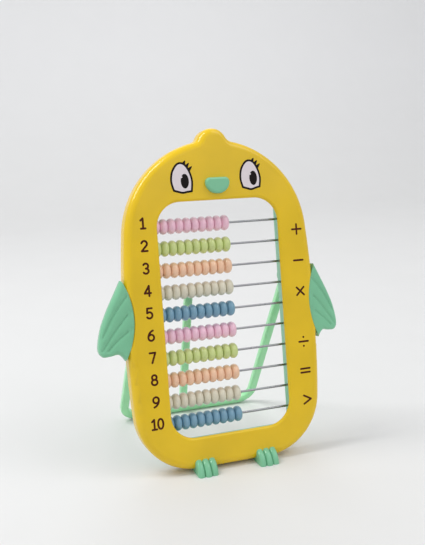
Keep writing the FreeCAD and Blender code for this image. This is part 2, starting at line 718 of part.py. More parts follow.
def draw_u(sketch, half_width, bottom, top, corner):
    """A closed outline with round lower corners and square upper ones."""
    x = number(sketch, half_width)
    low = number(sketch, bottom)
    high = number(sketch, top)
    radius = number(sketch, corner)

    def line(start, end):
        return sketch.addGeometry(Part.LineSegment(Vector(*start, 0), Vector(*end, 0)), False)

    def arc(across, begin):
        circle = Part.Circle(Vector(across, low + radius, 0), Vector(0, 0, 1), radius)
        return sketch.addGeometry(Part.ArcOfCircle(circle, begin, begin + math.pi / 2), False)

    base = line((radius - x, low), (x - radius, low))
    right_corner = arc(x - radius, -math.pi / 2)
    right = line((x, low + radius), (x, high))
    lid = line((x, high), (-x, high))
    left = line((-x, high), (-x, low + radius))
    left_corner = arc(radius - x, math.pi)
    for kind, first, second in (
            ("Tangent", base, right_corner), ("Tangent", right_corner, right),
            ("Coincident", right, lid), ("Coincident", lid, left),
            ("Tangent", left, left_corner), ("Tangent", left_corner, base)):
        sketch.addConstraint(Sketcher.Constraint(kind, first, 2, second, 1))
    sketch.addConstraint(Sketcher.Constraint("Equal", right_corner, left_corner))
    for element, direction in ((base, "Horizontal"), (right, "Vertical"), (lid, "Horizontal"),
                               (left, "Vertical")):
        sketch.addConstraint(Sketcher.Constraint(direction, element))
    bind(sketch, Sketcher.Constraint("Radius", right_corner, radius), corner)
    bind(sketch, Sketcher.Constraint("DistanceX", -1, 1, right, 1, x), half_width)
    bind(sketch, Sketcher.Constraint("DistanceX", -1, 1, left, 1, -x), f"-({half_width})")
    bind(sketch, Sketcher.Constraint("DistanceY", -1, 1, base, 1, low), bottom)
    bind(sketch, Sketcher.Constraint("DistanceY", -1, 1, lid, 1, high), top)


def draw_middle_bar(sketch):
    """A slanting bar with a round upper end, which starts inside the bottom bar."""
    foot = Vector(size("bar_foot_x"), size("stand_width") / 2 - size("leg_length"), 0)
    head = Vector(size("bar_head_x"), -size("bar_head_drop"), 0)
    along = (head - foot).normalize()
    radius = size("bar_width") / 2
    aside = Vector(along.y, -along.x, 0) * radius
    slant = math.atan2(along.y, along.x)

    centre_line = sketch.addGeometry(Part.LineSegment(foot, head), True)
    right = sketch.addGeometry(Part.LineSegment(foot + aside, head + aside), False)
    cap = sketch.addGeometry(Part.ArcOfCircle(
        Part.Circle(head, Vector(0, 0, 1), radius), slant - math.pi / 2, slant + math.pi / 2), False)
    left = sketch.addGeometry(Part.LineSegment(head - aside, foot - aside), False)
    base = sketch.addGeometry(Part.LineSegment(foot - aside, foot + aside), False)
    sketch.addConstraint(Sketcher.Constraint("Tangent", right, 2, cap, 1))
    sketch.addConstraint(Sketcher.Constraint("Tangent", cap, 2, left, 1))
    sketch.addConstraint(Sketcher.Constraint("Coincident", left, 2, base, 1))
    sketch.addConstraint(Sketcher.Constraint("Coincident", base, 2, right, 1))
    sketch.addConstraint(Sketcher.Constraint("Coincident", cap, 3, centre_line, 2))
    sketch.addConstraint(Sketcher.Constraint("Parallel", centre_line, right))
    sketch.addConstraint(Sketcher.Constraint("Parallel", centre_line, left))
    sketch.addConstraint(Sketcher.Constraint("Perpendicular", centre_line, base))
    sketch.addConstraint(Sketcher.Constraint("PointOnObject", centre_line, 1, base))
    bind(sketch, Sketcher.Constraint("Radius", cap, radius), "Sizes.bar_width / 2")
    place_point(sketch, centre_line, 1, "Sizes.bar_foot_x", "Sizes.stand_width / 2 - Sizes.leg_length")
    place_point(sketch, centre_line, 2, "Sizes.bar_head_x", "-Sizes.bar_head_drop")


def make_stand():
    """A U-shaped leg with a middle bar, drawn upright with its hinge axis through the origin."""
    body = doc.addObject("PartDesign::Body", "stand")
    outer = new_sketch(body, "outer_outline")
    draw_u(outer, "Sizes.stand_half_spacing + Sizes.stand_width / 2", "-Sizes.leg_length",
           "Sizes.heel_height", "Sizes.stand_corner + Sizes.stand_width / 2")
    pad(body, "sheet_form", outer, "Sizes.stand_thickness", middle=True)
    inner = new_sketch(body, "inner_outline")
    draw_u(inner, "Sizes.stand_half_spacing - Sizes.stand_width / 2",
           "Sizes.stand_width - Sizes.leg_length", "Sizes.heel_height + Sizes.stand_width",
           "Sizes.stand_corner - Sizes.stand_width / 2")
    pocket(body, "between_legs", inner, both_ways=True)
    bar = new_sketch(body, "middle_bar_outline")
    draw_middle_bar(bar)
    whole = pad(body, "middle_bar", bar, "Sizes.stand_thickness", middle=True)

    def on_a_face(edge):
        depth = size("stand_thickness") / 2
        flat = lies_at_depth(depth)(edge) or lies_at_depth(-depth)(edge)
        return flat and edge.BoundBox.ZMin < size("heel_height") - 0.1

    fillet(body, "soft_edges", whole, "Sizes.stand_edge_round", on_a_face)

    eye = new_sketch(body, "eye_outline", "YZ_Plane",
                     offset="Sizes.stand_half_spacing - Sizes.stand_width / 2")
    draw_circle(eye, None, None, "Sizes.eye_radius")
    right_eye = pad(body, "right_eye", eye, "Sizes.stand_width", reverse=False)
    eyes = body.newObject("PartDesign::Mirrored", "left_eye")
    eyes.Originals = [right_eye]
    eyes.MirrorPlane = (origin_plane(body, "YZ_Plane"), [""])
    body.Tip = eyes
    doc.recompute()
    bore = new_sketch(body, "pin_bore", "YZ_Plane")
    draw_circle(bore, None, None, "Sizes.pin_radius + Sizes.turning_gap")
    pocket(body, "pin_bores", bore, both_ways=True)
    opened = Rotation(Vector(1, 0, 0), size("stand_angle"))
    return finish(body, "stand", Placement(LEAN.multVec(hinge_place()), opened))


def make_pin(side, name):
    """The steel pin that one leg of the stand turns on."""
    pin = doc.addObject("Part::Cylinder", name)
    reach = "(Sizes.stand_width / 2 + Sizes.lug_clearance + Sizes.lug_thickness)"
    pin.setExpression("Radius", "Sizes.pin_radius")
    pin.setExpression("Height", f"2 * {reach}")
    doc.recompute()
    start = LEAN.multVec(hinge_place())
    start.x = side * size("stand_half_spacing") - pin.Height.Value / 2
    return finish(pin, name, Placement(start, Rotation(Vector(0, 1, 0), 90)))


# ---------------------------------------------------------------- screws


def make_screw_set():
    """The screws that hold the cover: a round head with a cross recess, and a plain core."""
    head = Part.makeCylinder(size("screw_head_radius"), size("screw_head_depth"),
                             Vector(0, -size("screw_head_depth"), 0), Vector(0, 1, 0))
    core = Part.makeCylinder(size("screw_core_radius"), size("screw_length"),
                             Vector(0, -size("screw_length"), 0), Vector(0, 1, 0))
    slot_long = size("screw_slot_length")
    slot_wide = size("screw_slot_width")
    slot_deep = size("screw_slot_depth")
    screw = head.fuse(core)
    for across, up in ((slot_long, slot_wide), (slot_wide, slot_long)):
        screw = screw.cut(Part.makeBox(across, slot_deep, up, Vector(-across / 2, -slot_deep, -up / 2)))
    screws = []
    for across, up in screw_places():
        copy = screw.copy()
        copy.Placement = Placement(Vector(across, size("panel_depth"), up), Rotation())
        screws.append(copy)
    group = doc.addObject("Part::Feature", "cover_screws")
    group.Shape = Part.makeCompound(screws)
    return finish(group, "cover_screws")


# ---------------------------------------------------------------- the whole frame


envelope = make_envelope()
make_front_shell()
make_rear_cover()
make_beak()
right_wing = trim_to_panel(make_wing_blank(), envelope, "right_wing")
left_wing = doc.addObject("Part::Mirroring", "left_wing")
left_wing.Source = right_wing
left_wing.Normal = Vector(1, 0, 0)
doc.recompute()
finish(left_wing, "left_wing", Placement())
for side, name in ((-1, "left_foot"), (1, "right_foot")):
    trim_to_panel(make_foot_blank(side), envelope, name)

make_stand()
make_pin(-1, "stand_pin_left")
make_pin(1, "stand_pin_right")
make_screw_set()

bead = make_bead()
for row in range(1, ROWS + 1):
    make_wire(row)
    counted = range(BEADS_PER_ROW - row + 1, BEADS_PER_ROW + 1)
    waiting = range(1, BEADS_PER_ROW - row + 1)
    make_bead_group(bead, row, f"row_{row:02d}_beads_counted", counted)
    if waiting:
        make_bead_group(bead, row, f"row_{row:02d}_beads_waiting", waiting)

doc.recompute()
for item in doc.Objects:
    if "Invalid" in item.State or "Error" in item.State:
        raise ValueError(f"{item.Name} failed: {item.State}")
for item in sub_parts:
    if item.Shape.isNull() or not item.Shape.isValid():
        raise ValueError(f"{item.Label} has a bad shape")

os.makedirs("parts", exist_ok=True)
for item in sub_parts:
    item.Shape.exportStep(f"parts/{item.Label}.step")
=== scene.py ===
import json
import math

import bmesh
import bpy
import numpy as np
from mathutils import Matrix, Vector


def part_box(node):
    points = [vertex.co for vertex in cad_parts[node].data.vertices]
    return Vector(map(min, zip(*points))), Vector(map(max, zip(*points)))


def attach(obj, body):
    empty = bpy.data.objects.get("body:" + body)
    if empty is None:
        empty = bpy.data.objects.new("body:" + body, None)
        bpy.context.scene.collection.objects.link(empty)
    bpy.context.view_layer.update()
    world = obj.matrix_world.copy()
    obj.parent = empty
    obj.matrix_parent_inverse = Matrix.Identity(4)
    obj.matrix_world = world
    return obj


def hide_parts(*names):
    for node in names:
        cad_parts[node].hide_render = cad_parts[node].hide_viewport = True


# A chick-shaped counting frame: a leaning panel with ten rows of beads, on a folding stand.
# Everything is placed in the panel's own directions: across, up its face, and back from its face.

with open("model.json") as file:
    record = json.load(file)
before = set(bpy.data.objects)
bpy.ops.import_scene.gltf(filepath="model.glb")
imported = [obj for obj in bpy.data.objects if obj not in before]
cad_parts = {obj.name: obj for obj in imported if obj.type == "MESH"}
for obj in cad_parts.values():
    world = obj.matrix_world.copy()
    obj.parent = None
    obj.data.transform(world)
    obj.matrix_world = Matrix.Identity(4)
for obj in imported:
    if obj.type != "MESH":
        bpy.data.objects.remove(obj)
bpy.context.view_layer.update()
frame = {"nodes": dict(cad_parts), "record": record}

MM = 0.001
ROWS = 10
SIDES = (("left", -1), ("right", 1))

# ---------------------------------------------------------------- the panel's directions, from the wires

LOWEST_ROW = 33.2      # height of the lowest wire above the panel's own ground line, millimetres
WIRE_DEPTH = 7.2       # the wires' centres lie this far behind the face, millimetres


def box_centre(node):
    """The middle of a CAD node's box."""
    low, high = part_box(node)
    return (low + high) / 2


wires = [box_centre(f"wire_{row:02d}") for row in range(1, ROWS + 1)]
ACROSS = Vector((1, 0, 0))
UP = (wires[0] - wires[-1]).normalized()
BACK = UP.cross(ACROSS)
ORIGIN = wires[-1] - UP * LOWEST_ROW * MM - BACK * WIRE_DEPTH * MM
ROW_PITCH = (wires[0] - wires[-1]).length / MM / (ROWS - 1)


def panel(across, height, depth=0.0):
    """The point that far across, up and behind the panel's face, in millimetres."""
    return ORIGIN + (ACROSS * across + UP * height + BACK * depth) * MM


def row_height(row):
    """Height of a row's wire on the panel, in millimetres. Row 1 is the highest."""
    return LOWEST_ROW + ROW_PITCH * (ROWS - row)


# ---------------------------------------------------------------- materials

# Sizes of the lumps in each finish and the heights of its relief, in millimetres.
CLOUD_SIZE = 26
GRAIN_SIZE = 0.7
WAVE_SIZE = 15
WAVE_HEIGHT = 0.05
FLECK_SIZE = 0.9
FLECK_HEIGHT = 0.02
BEAD_CLOUD_SIZE = 5
STREAK_SIZE = 1.6
STREAK_STRETCH = 3.0      # streaks are this much closer together across the panel
LINE_SIZE = 0.12
LINE_STRETCH = 0.05       # drawing lines run along the wire
LINE_HEIGHT = 0.002
STAIN_SIZE = 6
PORE_SIZE = 0.35
PORE_HEIGHT = 0.006
PATCH_SIZE = 4


def linear(red, green, blue):
    """A colour picked on a 0 to 255 scale, as the shader wants it."""
    def one(value):
        share = value / 255
        return share / 12.92 if share <= 0.04045 else ((share + 0.055) / 1.055) ** 2.4
    return (one(red), one(green), one(blue), 1)


def shaded(colour, factor):
    """The same colour, lighter or darker."""
    return tuple(min(1, part * factor) for part in colour[:3]) + (1,)


class Finish:
    """A material under construction: a Principled shader and the nodes that feed it."""

    def __init__(self, name):
        self.material = bpy.data.materials.new(name)
        self.material.use_nodes = True
        self.tree = self.material.node_tree
        self.shader = self.tree.nodes["Principled BSDF"]
        self.place = self.add("ShaderNodeTexCoord").outputs["Object"]

    def add(self, kind, **settings):
        node = self.tree.nodes.new(kind)
        for key, value in settings.items():
            setattr(node, key, value)
        return node

    def link(self, output, socket):
        self.tree.links.new(output, socket)

    def noise(self, size, detail=2.0, rough=0.5):
        """Noise whose lumps are about that many millimetres across."""
        node = self.add("ShaderNodeTexNoise")
        node.inputs["Scale"].default_value = 1 / (size * MM)
        node.inputs["Detail"].default_value = detail
        node.inputs["Roughness"].default_value = rough
        self.link(self.place, node.inputs["Vector"])
        return node.outputs["Fac"]

    def spread(self, source, low, high, start=0.3, stop=0.7):
        """A value that runs from low to high as the source runs from start to stop."""
        node = self.add("ShaderNodeMapRange")
        node.inputs["From Min"].default_value = start
        node.inputs["From Max"].default_value = stop
        node.inputs["To Min"].default_value = low
        node.inputs["To Max"].default_value = high
        self.link(source, node.inputs["Value"])
        return node.outputs["Result"]

    def mix(self, factor, first, second):
        """A colour between two others, each a colour or the output of a node."""
        node = self.add("ShaderNodeMix", data_type="RGBA")
        self.link(factor, node.inputs["Factor"])
        for socket, value in (("A", first), ("B", second)):
            slot = [entry for entry in node.inputs if entry.name == socket and entry.type == "RGBA"][0]
            if isinstance(value, tuple):
                slot.default_value = value
            else:
                self.link(value, slot)
        return [entry for entry in node.outputs if entry.type == "RGBA"][0]

    def bump(self, source, height, strength=1.0, after=None):
        """Relief of that height in millimetres."""
        node = self.add("ShaderNodeBump")
        node.inputs["Distance"].default_value = height * MM
        node.inputs["Strength"].default_value = strength
        self.link(source, node.inputs["Height"])
        if after is not None:
            self.link(after, node.inputs["Normal"])
        return node.outputs["Normal"]

    def set(self, **values):
        for name, value in values.items():
            self.shader.inputs[name.replace("_", " ")].default_value = value

    def feed(self, **outputs):
        for name, output in outputs.items():
            self.link(output, self.shader.inputs[name.replace("_", " ")])


def moulded(name, colour, roughness, clouding=0.05, coat=0.7, texture=0.012, soft=0.05):
    """Injection-moulded plastic: faint clouding of the colour, a fine spark texture and uneven gloss."""
    finish = Finish(name)
    clouds = finish.noise(CLOUD_SIZE, detail=3)
    grain = finish.noise(GRAIN_SIZE, detail=3, rough=0.65)
    waves = finish.noise(WAVE_SIZE, detail=1)
    tone = finish.mix(finish.spread(clouds, 0, 1), shaded(colour, 1 - clouding), shaded(colour, 1 + clouding))
    flecked = finish.mix(finish.spread(grain, 0, 0.35, 0.55, 0.8), tone, shaded(colour, 1 + 2 * clouding))
    gloss = finish.spread(waves, roughness - 0.05, roughness + 0.06)
    relief = finish.bump(grain, texture)
    relief = finish.bump(waves, WAVE_HEIGHT, after=relief)
    finish.feed(Base_Color=flecked, Roughness=gloss, Normal=relief)
    finish.set(IOR=1.49, Specular_IOR_Level=0.06, Coat_Weight=coat, Coat_Roughness=0.14)
    finish.set(Subsurface_Weight=soft, Subsurface_Radius=(0.003, 0.003, 0.002), Subsurface_Scale=0.4)
    return finish.material


def pearled(name, colour):
    """Bead plastic with a pearly fleck and streaks that run round the bead."""
    finish = Finish(name)
    fleck = finish.noise(FLECK_SIZE, detail=4, rough=0.7)
    cloud = finish.noise(BEAD_CLOUD_SIZE, detail=2)
    stretch = finish.add("ShaderNodeMapping")
    stretch.inputs["Scale"].default_value = (STREAK_STRETCH, 1.0, 1.0)
    finish.link(finish.place, stretch.inputs["Vector"])
    streak = finish.add("ShaderNodeTexNoise")
    streak.inputs["Scale"].default_value = 1 / (STREAK_SIZE * MM)
    finish.link(stretch.outputs["Vector"], streak.inputs["Vector"])
    tone = finish.mix(finish.spread(cloud, 0, 1), shaded(colour, 0.93), shaded(colour, 1.07))
    pearl = finish.mix(finish.spread(fleck, 0, 0.35, 0.5, 0.72), tone, shaded(colour, 1.3))
    turned = finish.mix(finish.spread(streak.outputs["Fac"], 0, 0.25, 0.45, 0.75), pearl, shaded(colour, 0.8))
    relief = finish.bump(fleck, FLECK_HEIGHT)
    finish.feed(Base_Color=turned, Roughness=finish.spread(cloud, 0.26, 0.38), Normal=relief)
    finish.set(IOR=1.5, Coat_Weight=0.75, Coat_Roughness=0.09)
    return finish.material


def drawn_steel(name):
    """Drawn and slightly dulled steel wire, with fine lines along it."""
    finish = Finish(name)
    lengthwise = finish.add("ShaderNodeMapping")
    lengthwise.inputs["Scale"].default_value = (LINE_STRETCH, 1.0, 1.0)
    finish.link(finish.place, lengthwise.inputs["Vector"])
    lines = finish.add("ShaderNodeTexNoise")
    lines.inputs["Scale"].default_value = 1 / (LINE_SIZE * MM)
    finish.link(lengthwise.outputs["Vector"], lines.inputs["Vector"])
    stain = finish.noise(STAIN_SIZE, detail=3)
    metal = linear(160, 160, 164)
    tone = finish.mix(finish.spread(stain, 0, 1), shaded(metal, 0.82), metal)
    finish.feed(Base_Color=tone, Roughness=finish.spread(stain, 0.22, 0.4),
                Normal=finish.bump(lines.outputs["Fac"], LINE_HEIGHT))
    finish.set(Metallic=1.0)
    return finish.material


def printed(name, colour, roughness, speck=0.25):
    """Pad-printed ink: slightly uneven, with a satin surface."""
    finish = Finish(name)
    pores = finish.noise(PORE_SIZE, detail=3, rough=0.6)
    patch = finish.noise(PATCH_SIZE, detail=2)
    tone = finish.mix(finish.spread(patch, 0, 1), shaded(colour, 1 - speck), shaded(colour, 1 + speck))
    finish.feed(Base_Color=tone, Roughness=finish.spread(pores, roughness - 0.06, roughness + 0.08),
                Normal=finish.bump(pores, PORE_HEIGHT))
    finish.set(Specular_IOR_Level=0.12, Coat_Weight=0.04, Coat_Roughness=0.2)
    return finish.material


PAINT = {
    "shell_yellow": moulded("shell_yellow_plastic", linear(228, 190, 24), 0.36),
    "mint_plastic": moulded("mint_plastic", linear(124, 192, 152), 0.36),
    "bead_pink": pearled("bead_pink_plastic", linear(238, 190, 208)),
    "bead_green": pearled("bead_green_plastic", linear(198, 212, 134)),
    "bead_peach": pearled("bead_peach_plastic", linear(240, 194, 160)),
    "bead_beige": pearled("bead_beige_plastic", linear(214, 208, 186)),
    "bead_blue": pearled("bead_blue_plastic", linear(108, 152, 176)),
    "steel": drawn_steel("drawn_steel"),
}
# The rear cover gets a lighter copy of the mint plastic: its paler tone is painted light, standing in for the
# light that falls on the window's inner wall.
LIT_COVER_MINT = moulded("cover_mint_lit_plastic", linear(150, 206, 174), 0.38)
# The stand gets a brighter copy of the same mint plastic: the brighter tone is painted light that makes it
# look more strongly lit. It is also made more translucent.
LIT_STAND_MINT = moulded("stand_mint_lit_plastic", linear(172, 238, 184), 0.38, soft=0.25)
LIT_MINT_PAINT = {"stand": LIT_STAND_MINT, "rear_cover": LIT_COVER_MINT}
INK_BROWN = printed("number_ink", linear(78, 32, 12), 0.5)
INK_BLACK = printed("eye_black_ink", linear(20, 12, 12), 0.5)
INK_WHITE = printed("eye_white_ink", linear(226, 216, 220), 0.42, speck=0.02)


def paint_frame():
    """Give every CAD node the material of its slot in the record, except the stand and the rear cover, which
    get lighter copies of the mint plastic with painted light.
    """
    for part in frame["record"]["subparts"]:
        materials = frame["nodes"][part["node"]].data.materials
        materials.clear()
        materials.append(LIT_MINT_PAINT.get(part["node"], PAINT[part["material_slot"]]))


# ---------------------------------------------------------------- shapes drawn on the panel's face

SNAP_PASSES = 4           # times a plate's rim is moved towards its outline
SLOPE_SHARE = 50          # an outline's slope is measured over this small a part of a cell


def arc(centre, radius, start, stop, tall=None, steps=28):
    """Points on a round or oval arc, its ends given in degrees."""
    tall = radius if tall is None else tall
    angles = [math.radians(start + (stop - start) * step / steps) for step in range(steps + 1)]
    return [(centre[0] + radius * math.cos(a), centre[1] + tall * math.sin(a)) for a in angles]


def rounded(points, steps=10, closed=True):
    """A smooth line through the points."""
    count = len(points)
    spans = count if closed else count - 1
    result = []
    for index in range(spans):
        if closed:
            before, start, stop, after = (points[(index + shift) % count] for shift in (-1, 0, 1, 2))
        else:
            before, start, stop, after = (points[min(max(index + shift, 0), count - 1)]
                                          for shift in (-1, 0, 1, 2))
        for step in range(steps):
            t = step / steps
            result.append(tuple(
                0.5 * (2 * b + (c - a) * t + (2 * a - 5 * b + 4 * c - d) * t ** 2
                       + (3 * b - a - 3 * c + d) * t ** 3)
                for a, b, c, d in zip(before, start, stop, after)))
    if not closed:
        result.append(points[-1])
    return result


def path_distance(x, z, points, closed=False):
    """Distance from each place to a line of points."""
    best = np.full(x.shape, np.inf)
    ends = points[1:] + points[:1] if closed else points[1:]
    for (ax, az), (bx, bz) in zip(points, ends):
        dx = bx - ax
        dz = bz - az
        length = max(dx * dx + dz * dz, 1e-12)
        along = np.clip(((x - ax) * dx + (z - az) * dz) / length, 0, 1)
        best = np.minimum(best, np.hypot(x - ax - along * dx, z - az - along * dz))
    return best


def area_distance(x, z, outline):
    """Distance from each place to a closed outline, negative inside it."""
    inside = np.zeros(x.shape, bool)
    for (ax, az), (bx, bz) in zip(outline, outline[1:] + outline[:1]):
        if az == bz:
            continue
        crosses = (az > z) != (bz > z)
        inside ^= crosses & (x < ax + (z - az) * (bx - ax) / (bz - az))
    distance = path_distance(x, z, outline, closed=True)
    return np.where(inside, -distance, distance)


def plate(name, field, span, cell, front, behind, material, body, crease=40):
    """A solid plate on the panel. field(x, z) is negative inside its outline; front(x, z, inset)
    and behind(x, z) are the depths of its two surfaces."""
    xs = np.arange(span[0], span[1] + cell, cell)
    zs = np.arange(span[2], span[3] + cell, cell)
    grid_x, grid_z = np.meshgrid(xs, zs, indexing="ij")
    middle_x = (grid_x[:-1, :-1] + grid_x[1:, 1:]) / 2
    middle_z = (grid_z[:-1, :-1] + grid_z[1:, 1:]) / 2
    kept = field(middle_x, middle_z) < 0
    touching = np.zeros(grid_x.shape, int)
    for shift_x in (0, 1):
        for shift_z in (0, 1):
            touching[shift_x:shift_x + kept.shape[0], shift_z:shift_z + kept.shape[1]] += kept
    rim = (touching > 0) & (touching < 4)
    step = cell / SLOPE_SHARE
    for _ in range(SNAP_PASSES):
        gap = field(grid_x, grid_z)
        slope_x = (field(grid_x + step, grid_z) - gap) / step
        slope_z = (field(grid_x, grid_z + step) - gap) / step
        grid_x = np.where(rim, grid_x - gap * slope_x, grid_x)
        grid_z = np.where(rim, grid_z - gap * slope_z, grid_z)
    inset = np.maximum(-field(grid_x, grid_z), 0)
    depth = front(grid_x, grid_z, inset)

    shape = bmesh.new()
    lids = []
    for surface in (depth, behind(grid_x, grid_z)):
        lids.append({
            (i, j): shape.verts.new(panel(grid_x[i, j], grid_z[i, j], surface[i, j]))
            for i, j in np.argwhere(touching > 0).tolist()})
    edges = {}
    for i, j in np.argwhere(kept).tolist():
        corners = [(i, j), (i + 1, j), (i + 1, j + 1), (i, j + 1)]
        shape.faces.new([lids[0][corner] for corner in corners])
        shape.faces.new([lids[1][corner] for corner in reversed(corners)])
        for start, stop in zip(corners, corners[1:] + corners[:1]):
            if edges.pop((stop, start), None) is None:
                edges[(start, stop)] = True
    for start, stop in edges:
        shape.faces.new([lids[0][stop], lids[0][start], lids[1][start], lids[1][stop]])
    bmesh.ops.recalc_face_normals(shape, faces=shape.faces)
    return add_piece(name, shape, material, body, crease)


def add_piece(name, shape, material, body, crease=40):
    """Turn a finished bmesh into a piece that rides on a body."""
    mesh = bpy.data.meshes.new(name)
    shape.to_mesh(mesh)
    shape.free()
    mesh.shade_smooth()
    mesh.set_sharp_from_angle(angle=math.radians(crease))
    mesh.materials.append(material)
    piece = bpy.data.objects.new(name, mesh)
    bpy.context.scene.collection.objects.link(piece)
    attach(piece, body)
    return piece


# ---------------------------------------------------------------- printed numbers and signs

NUMBER_COLUMN = -50.8     # middle of the numbers, millimetres across
SIGN_COLUMN = 54.06
NUMBER_LIFT = 2.9         # the numbers stand this far above their wires
NUMBER_HEIGHT = 7.6
SIGN_HEIGHT = 9.4
STROKE = 1.3
INK_HEIGHT = 0.06
INK_ROOT = 0.03           # print is rooted this far inside the face
INK_EDGE = 0.12           # width over which the print thins out at its edge
INK_CELL = 0.16           # spacing of the points that shape the print
SIGNS = (("plus", 151.6), ("minus", 130.9), ("times", 110.25),
         ("divide", 76.3), ("equals", 56.7), ("greater", 37.1))


def under_ink(x, z):
    """The hidden back of a printed layer."""
    return np.full(x.shape, INK_ROOT)


def glyph_strokes(mark):
    """The strokes of a number or sign, in a box one unit high, centred on its middle line."""
    one = [[(-0.2, 0.8), (0.03, 1.0), (0.03, 0.0)], [(-0.2, 0.0), (0.26, 0.0)]]
    nought = [arc((0.0, 0.5), 0.27, 0, 360, tall=0.5)]
    strokes = {
        "1": one,
        "2": [arc((0.0, 0.72), 0.28, 165, -38) + [(-0.29, 0.0), (0.3, 0.0)]],
        "3": [arc((-0.02, 0.75), 0.25, 150, -90) + arc((-0.02, 0.25), 0.27, 90, -150, tall=0.25)],
        "4": [[(0.14, 0.0), (0.14, 1.0), (-0.32, 0.28), (0.32, 0.28)]],
        "5": [[(0.26, 1.0), (-0.2, 1.0), (-0.23, 0.54)] + arc((-0.01, 0.31), 0.3, 130, -145, tall=0.31)],
        "6": [arc((0.0, 0.3), 0.29, 0, 360, tall=0.3), arc((0.42, 0.3), 0.71, 180, 107, tall=0.73)],
        "7": [[(-0.29, 1.0), (0.29, 1.0), (-0.08, 0.0)]],
        "8": [arc((0.0, 0.76), 0.24, 0, 360), arc((0.0, 0.27), 0.29, 0, 360, tall=0.27)],
        "9": [arc((0.0, 0.7), 0.29, 0, 360, tall=0.3), arc((-0.42, 0.7), 0.71, 0, -73, tall=0.73)],
        "10": [[(x - 0.38, z) for x, z in stroke] for stroke in one] + [[(x + 0.3, z) for x, z in nought[0]]],
        "plus": [[(-0.4, 0.5), (0.4, 0.5)], [(0.0, 0.1), (0.0, 0.9)]],
        "minus": [[(-0.4, 0.5), (0.4, 0.5)]],
        "times": [[(-0.32, 0.18), (0.32, 0.82)], [(-0.32, 0.82), (0.32, 0.18)]],
        "divide": [[(-0.4, 0.5), (0.4, 0.5)], [(0.0, 0.86), (0.0, 0.88)], [(0.0, 0.12), (0.0, 0.14)]],
        "equals": [[(-0.4, 0.34), (0.4, 0.34)], [(-0.4, 0.66), (0.4, 0.66)]],
        "greater": [[(-0.3, 0.85), (0.34, 0.5), (-0.3, 0.15)]],
    }
    return strokes[mark]


def print_mark(mark, name, across, height, tall):
    """One number or sign printed on the face, with its middle at that place."""
    scale = tall - STROKE
    lines = [[(across + x * scale, height + (z - 0.5) * scale) for x, z in stroke]
             for stroke in glyph_strokes(mark)]

    def field(x, z):
        return np.minimum.reduce([path_distance(x, z, line) for line in lines]) - STROKE / 2

    def front(x, z, inset):
        return -INK_HEIGHT * (1 - np.exp(-inset / INK_EDGE))

    reach = tall / 2 + STROKE
    span = (across - reach, across + reach, height - reach, height + reach)
    plate(name, field, span, INK_CELL, front, under_ink, INK_BROWN, "frame")


def print_marks():
    for row in range(1, ROWS + 1):
        print_mark(str(row), f"number_{row:02d}", NUMBER_COLUMN, row_height(row) + NUMBER_LIFT, NUMBER_HEIGHT)
    for sign, height in SIGNS:
        print_mark(sign, f"sign_{sign}", SIGN_COLUMN, height, SIGN_HEIGHT)


# ---------------------------------------------------------------- eyes

EYE_SPACING = 23.4
EYE_HEIGHT = 188.9
EYE_LINE = 1.3
# Each lash: its root from the eye's middle, its length and its direction in degrees.
LASHES = ((1.9, 8.6, 2.1, 62), (3.7, 7.0, 2.4, 52), (5.0, 4.8, 2.8, 44))
LASH_WIDTH = 1.6
LASH_TIP = 0.8
PUPIL_PLACE = (2.0, -2.1)
PUPIL_HALF_WIDTH = 2.7
PUPIL_HALF_HEIGHT = 4.6
GLINT_PLACE = (-0.1, 0.5)
GLINT_RADIUS = 0.62
EYE_REACH = 13.0          # the layers of an eye are drawn within this distance of its middle
EYE_CELL = 0.22
EYE_DIP = 0.03            # each layer is this much thinner at its edge
EYE_DIP_WIDTH = 0.15
# How far each printed layer stands proud of the face.
OUTLINE_LEVEL = 0.07
WHITE_LEVEL = 0.12
PUPIL_LEVEL = 0.17
GLINT_LEVEL = 0.22


def eye_outline(across, height, drop):
    """The egg-shaped white of an eye, with a lower edge that swells between two corners."""
    sides = rounded([(-5.6, -7.7), (-6.9, -2.2), (-6.1, 3.6), (-3.3, 8.0), (-0.4, 9.3),
                     (2.7, 8.0), (5.4, 3.6), (6.8, -2.2), (6.2, -7.7 - drop)], closed=False)
    lower = rounded([(6.2, -7.7 - drop), (3.4, -8.4 - drop / 2), (0.2, -9.3), (-3.0, -8.5),
                     (-5.6, -7.7)], closed=False)
    return [(across + x, height + z) for x, z in sides + lower[1:-1]]


def eye_plate(name, field, middle, level, material):
    """One printed layer of an eye, level millimetres proud of the face."""
    span = (middle[0] - EYE_REACH, middle[0] + EYE_REACH, middle[1] - EYE_REACH, middle[1] + EYE_REACH)

    def front(x, z, inset):
        return -level + EYE_DIP * np.exp(-inset / EYE_DIP_WIDTH)

    plate(name, field, span, EYE_CELL, front, under_ink, material, "frame")


